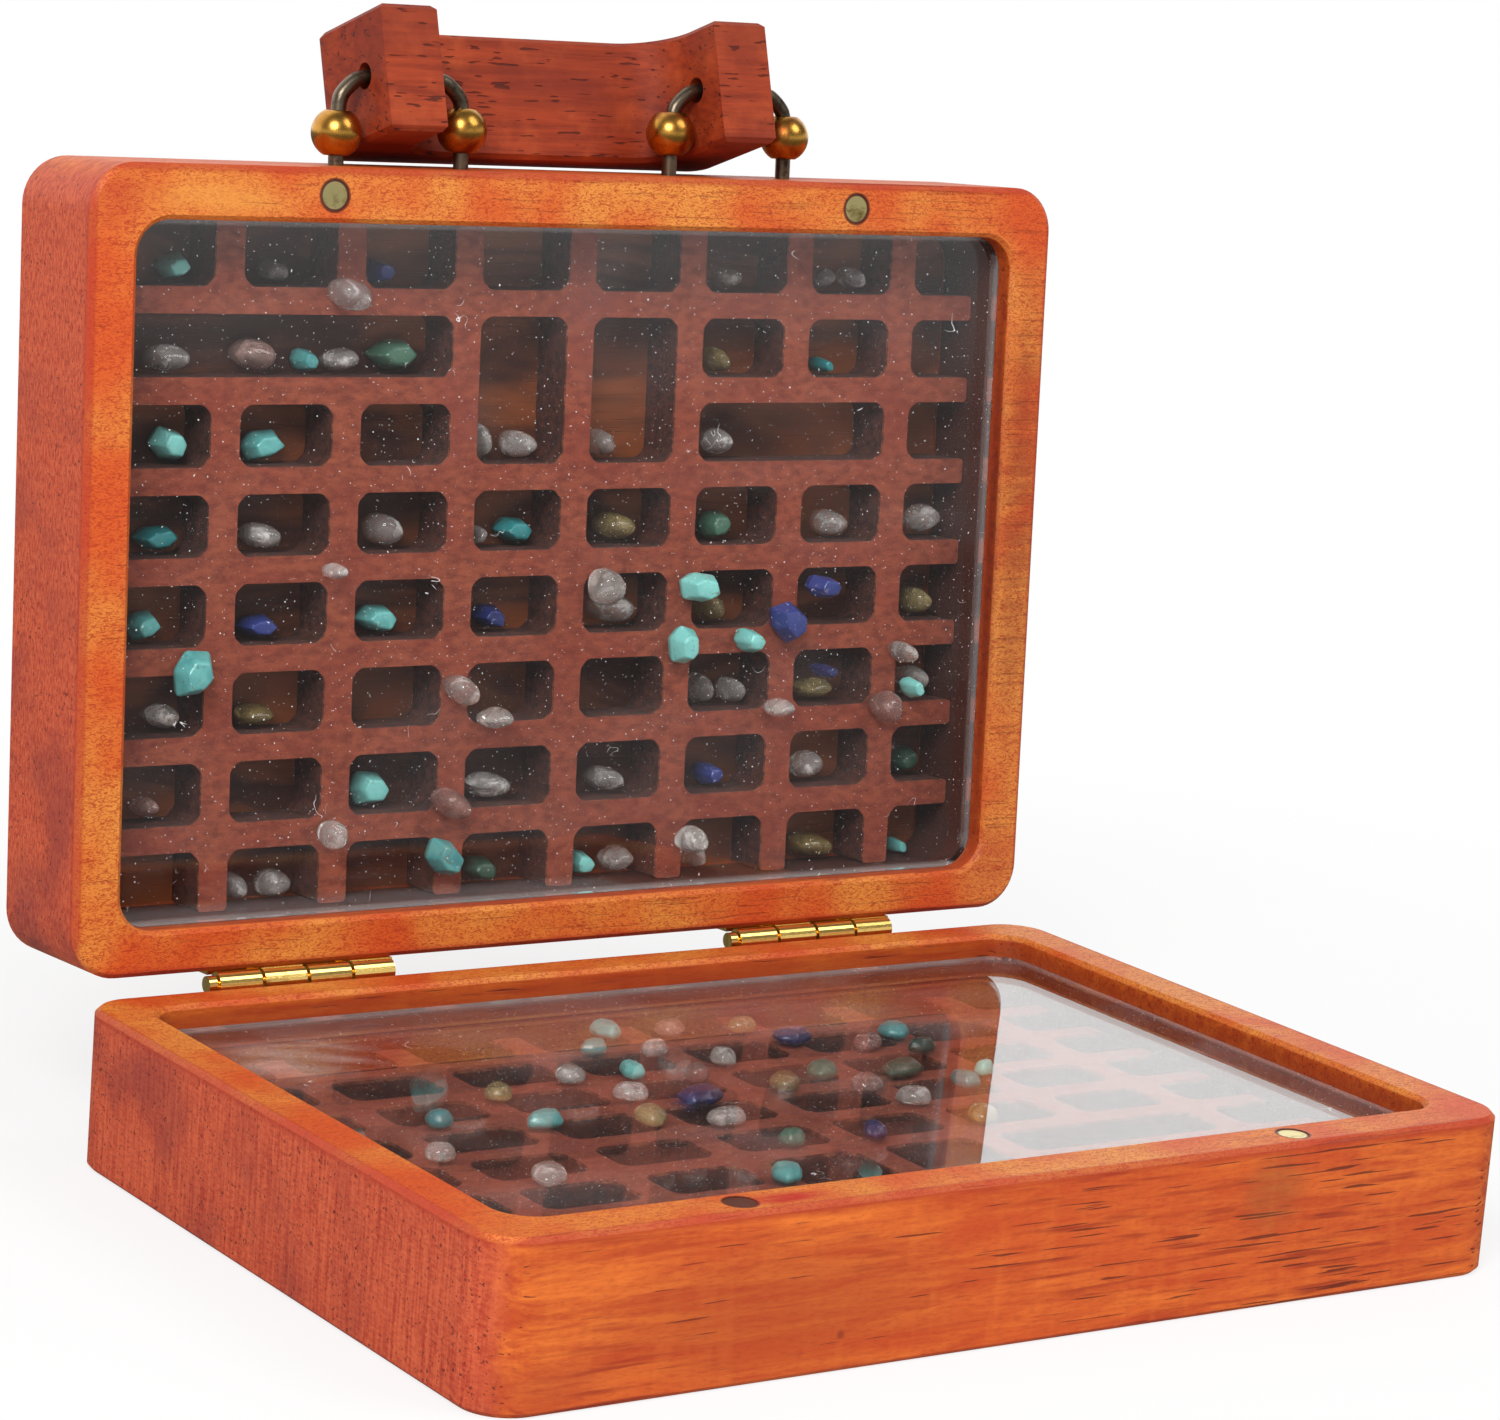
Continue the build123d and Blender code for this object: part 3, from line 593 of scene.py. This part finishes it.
turquoise = stone("turquoise stone", colour(40, 128, 132), colour(136, 216, 208), colour(110, 90, 60))
lapis = stone("lapis stone", colour(20, 26, 74), colour(54, 66, 132), colour(140, 140, 160))
green = stone("green stone", colour(22, 50, 40), colour(72, 112, 92), colour(116, 126, 98))
clear_quartz = stone("clear quartz", colour(236, 228, 222), colour(252, 248, 244), colour(255, 255, 255),
                     0.86, 0.06)
rose_quartz = stone("rose quartz", colour(196, 150, 140), colour(228, 192, 182), colour(240, 222, 214),
                    0.8, 0.14)
citrine = stone("citrine stone", colour(160, 136, 84), colour(212, 194, 140), colour(230, 220, 190),
                0.75, 0.16)
finish(stones["turquoise"], turquoise)
finish(stones["lapis"], lapis)
finish(stones["green"], green)
finish(stones["clear_quartz"], clear_quartz)
finish(stones["rose_quartz"], rose_quartz)
finish(stones["citrine"], citrine)


# %% [markdown]
# ## Brass, wire and magnets
# The hinges are bright new brass, the beads older brass with orange and brown tarnish, the staples dark
# bronze wire and the magnets dull nickel. All are metals, so their colour is the colour of their
# reflection, and what tells them apart is that colour, its stains and how sharp the reflection is.

# %% Round the wire and the beads
BEAD_RADIUS = 3.25 * MM
# The bore is a little wider than in the solids, so that the smooth bead clears the smooth wire.
BORE_RADIUS = 1.45 * MM
BEAD_FACE = 0.15 * MM
BEAD_STEPS = 20
BEAD_TURNS = 40
wire_way = (own_to_lid @ Vector((0, -1, 0)) - own_to_lid @ Vector()).normalized()


def round_staple(node_name):
    """A staple's wire made smooth."""
    piece = stand_in(node_name, node_name + "_round", merged_copy(node_name), "lid")
    rounding = piece.modifiers.new("rounding", "SUBSURF")
    rounding.levels = rounding.render_levels = ROUNDING_LEVELS
    return piece


def round_bead(node_name):
    """A smooth ball with a bore, turned about the wire through the middle of the CAD bead."""
    corners = [Vector(corner) for corner in nodes[node_name].bound_box]
    middle = sum(corners, Vector()) / len(corners)
    end = math.acos((BORE_RADIUS + BEAD_FACE) / BEAD_RADIUS)
    rises = [end * (2 * step / BEAD_STEPS - 1) for step in range(BEAD_STEPS + 1)]
    profile = [(BEAD_RADIUS * math.cos(rise), BEAD_RADIUS * math.sin(rise)) for rise in rises]
    profile += [(BORE_RADIUS, height) for _, height in (profile[-1], profile[0])]
    ball = bmesh.new()
    sideways = Vector((1, 0, 0))
    for radius, height in profile:
        ball.verts.new(middle + radius * sideways + height * wire_way)
    corners = list(ball.verts)
    for here, after in zip(corners, corners[1:] + corners[:1]):
        ball.edges.new((here, after))
    bmesh.ops.spin(ball, geom=ball.verts[:] + ball.edges[:], cent=middle, axis=wire_way,
                   angle=2 * math.pi, steps=BEAD_TURNS, use_merge=True)
    bmesh.ops.recalc_face_normals(ball, faces=ball.faces)
    return stand_in(node_name, node_name + "_round", ball, node_name)


staples = [round_staple(name) for name in ("left_staple", "right_staple")]
beads = [round_bead(name) for name in nodes if name.endswith("_bead")]
print("round staples and beads:", len(staples), len(beads))


# %% Metal materials
def metal(name, bright, stained, stain_from, scale, roughness):
    material, tree, shader = new_material(name)
    place = add(tree, "ShaderNodeTexCoord").outputs["Object"]
    blots = between(tree, noise(tree, place, scale, 4, 0.6, 0.6), stain_from, stain_from + 0.25)
    scratches = noise(tree, place, 12 * scale, 2)
    link(tree, mix(tree, blots, bright, stained), shader.inputs["Base Color"])
    shader.inputs["Metallic"].default_value = 1.0
    rough = plus(tree, times(tree, blots, 0.15), roughness)
    link(tree, rough, shader.inputs["Roughness"])
    link(tree, bump(tree, scratches, 0.02 * MM, 0.4), shader.inputs["Normal"])
    return material


hinge_brass = metal("bright brass", colour(244, 208, 120), colour(170, 116, 48), 0.55, 300.0, 0.22)
aged_brass = metal("aged brass", colour(196, 146, 66), colour(132, 60, 28), 0.42, 180.0, 0.27)
staple_wire = metal("bronze wire", colour(112, 100, 84), colour(56, 48, 40), 0.45, 500.0, 0.35)


def magnet_metal(name, in_lid, dark_one=0):
    """Dull nickel whose outer edge is painted dark brown as shade in the gap about each magnet, and one
    magnet under a skin of stain.
    """
    material = metal(name, colour(210, 196, 136), colour(150, 128, 74), 0.5, 600.0, 0.35)
    tree = material.node_tree
    shader = tree.nodes["Principled BSDF"]
    place = own_coordinates(tree, in_lid)
    bare_disc = 0.0
    for side in (-1, 1):
        if side != dark_one:
            centre = (side * MAGNET_X, MAGNET_Y, HALF_HEIGHT / MM)
            disc = spot(tree, place, centre, (MAGNET_DISC, MAGNET_DISC, 9.0), 0.92)
            bare_disc = larger(tree, bare_disc, disc)
    bare = shader.inputs["Base Color"].links[0].from_socket
    # Outside the bare disc the colour is dark brown: painted shade, and on the dark one a skin of stain.
    link(tree, mix(tree, bare_disc, colour(84, 40, 22), bare), shader.inputs["Base Color"])
    link(tree, bare_disc, shader.inputs["Metallic"])
    return material


finish([name for name in nodes if "_hinge_" in name], hinge_brass)
finish(staples, staple_wire)
base_magnets = [name for name in nodes if "base_magnet" in name]
lid_magnets = [name for name in nodes if "lid_magnet" in name]
finish(base_magnets, magnet_metal("dull nickel, base", False, -1))
finish(lid_magnets, magnet_metal("dull nickel, lid", True))
finish(beads, aged_brass)

# %% [markdown]
# ## Floor, lamps and camera
# The photograph has a white ground and a white background, lit evenly with the main light from the upper
# left. The floor and the world turn white for rays that come from the camera and stay grey for the light
# that falls on the box, so the background is white without washing out the wood. Rays mirrored in a pane,
# or leaving it after a bounce inside, find the dark room that the photograph shows in the panes, with a
# bright wall behind the box and a paler strip along the horizon in front of it.

# %% Floor
DARK_ROOM = 0.15
BRIGHT_WALL = 1.5
HORIZON_STRIP = 0.8
SOFT_LIGHT = 0.5


def ray_kinds(tree):
    """The light path's outputs, and one for a ray that was mirrored or went through a clear piece."""
    kinds = add(tree, "ShaderNodeLightPath").outputs
    return kinds, larger(tree, kinds["Is Glossy Ray"], kinds["Is Transmission Ray"])


floor_mesh = bpy.data.meshes.new("floor")
floor_shape = bmesh.new()
bmesh.ops.create_grid(floor_shape, x_segments=1, y_segments=1, size=3)
bmesh.ops.translate(floor_shape, verts=floor_shape.verts, vec=(0, 0, -0.02 * MM))
floor_shape.to_mesh(floor_mesh)
floor_shape.free()
floor = bpy.data.objects.new("floor", floor_mesh)
bpy.context.scene.collection.objects.link(floor)
material, tree, shader = new_material("white floor")
shader.inputs["Base Color"].default_value = (0.85, 0.85, 0.85, 1)
shader.inputs["Roughness"].default_value = 0.9
rays, mirrored = ray_kinds(tree)
place = add(tree, "ShaderNodeTexCoord").outputs["Object"]
distance = add(tree, "ShaderNodeVectorMath", {0: place}, operation="LENGTH").outputs["Value"]
whiter = ramp(tree, distance, 0.1, 0.3, 0.75, 1.0)
seen = larger(tree, times(tree, rays["Is Camera Ray"], whiter), mirrored)
brightness = ramp(tree, mirrored, 0.0, 1.0, 1.0, DARK_ROOM)
white = add(tree, "ShaderNodeEmission", {"Color": (1, 1, 1, 1), "Strength": brightness})
both = add(tree, "ShaderNodeMixShader", {0: seen, 1: shader.outputs[0], 2: white.outputs[0]})
tree.links.new(both.outputs[0], tree.nodes["Material Output"].inputs["Surface"])
floor_mesh.materials.append(material)

# %% World
world = bpy.data.worlds.new("studio")
bpy.context.scene.world = world
world.use_nodes = True
tree = world.node_tree
rays, mirrored = ray_kinds(tree)
direction = add(tree, "ShaderNodeTexCoord").outputs["Generated"]
turned = add(tree, "ShaderNodeSeparateXYZ", {0: direction}).outputs
rear = ramp(tree, turned[1], 0.1, 0.4, 0.0, BRIGHT_WALL)
near_horizon = times(tree, between(tree, turned[2], -0.03, 0.04), between(tree, turned[2], 0.28, 0.14))
front = plus(tree, times(tree, near_horizon, HORIZON_STRIP), DARK_ROOM)
in_mirror = times(tree, larger(tree, rear, front), mirrored)
soft = times(tree, rays["Is Diffuse Ray"], SOFT_LIGHT)
strength = larger(tree, larger(tree, rays["Is Camera Ray"], in_mirror), soft)
link(tree, strength, tree.nodes["Background"].inputs["Strength"])
tree.nodes["Background"].inputs["Color"].default_value = (1, 1, 1, 1)


# %% Lamps
def lamp(name, place, aim, size, power):
    """A square soft lamp that points at a place."""
    light = bpy.data.lights.new(name, "AREA")
    light.energy = power
    light.size = size
    lamp_object = bpy.data.objects.new(name, light)
    lamp_object.location = place
    way = Vector(aim) - Vector(place)
    lamp_object.rotation_euler = way.to_track_quat("-Z", "Y").to_euler()
    bpy.context.scene.collection.objects.link(lamp_object)
    print(name, "at", place)


lamp("main", (-0.55, -0.5, 0.65), (0, 0, 0.05), 0.4, 7.0)
# The base's pane mirrors the lid's, where a lower lamp on this side would show as a grey veil.
lamp("fill", (0.45, -0.5, 0.8), (0, 0, 0.05), 0.5, 3.0)

# %% [markdown]
# The camera stands in front and to the left, a little above the lid. It was placed by fitting the straight
# edges of both halves, and its lens is long because the photograph was taken from half a metre away and
# cropped close.

# %% Camera
CAMERA_PLACE = Vector((-308.35, -429.02, 164.24)) * MM
CAMERA_YAW = 0.6058
CAMERA_PITCH = -0.1899
CAMERA_ROLL = 0.08
LENS = 107.32
forward = Vector((math.sin(CAMERA_YAW) * math.cos(CAMERA_PITCH),
                  math.cos(CAMERA_YAW) * math.cos(CAMERA_PITCH),
                  math.sin(CAMERA_PITCH)))
level = Vector((math.cos(CAMERA_YAW), -math.sin(CAMERA_YAW), 0))
upright = level.cross(forward)
right = level * math.cos(CAMERA_ROLL) + upright * math.sin(CAMERA_ROLL)
up = upright * math.cos(CAMERA_ROLL) - level * math.sin(CAMERA_ROLL)
camera_data = bpy.data.cameras.new("camera")
camera_data.lens = LENS
camera_data.sensor_width = 36
camera_data.clip_start = 0.01
camera = bpy.data.objects.new("camera", camera_data)
turn = Matrix((right, up, -forward)).transposed().to_4x4()
camera.matrix_world = Matrix.Translation(CAMERA_PLACE) @ turn
bpy.context.scene.collection.objects.link(camera)
bpy.context.scene.camera = camera
bpy.context.scene.view_settings.view_transform = "Standard"

# %% Bring the scene up to date
bpy.context.view_layer.update()
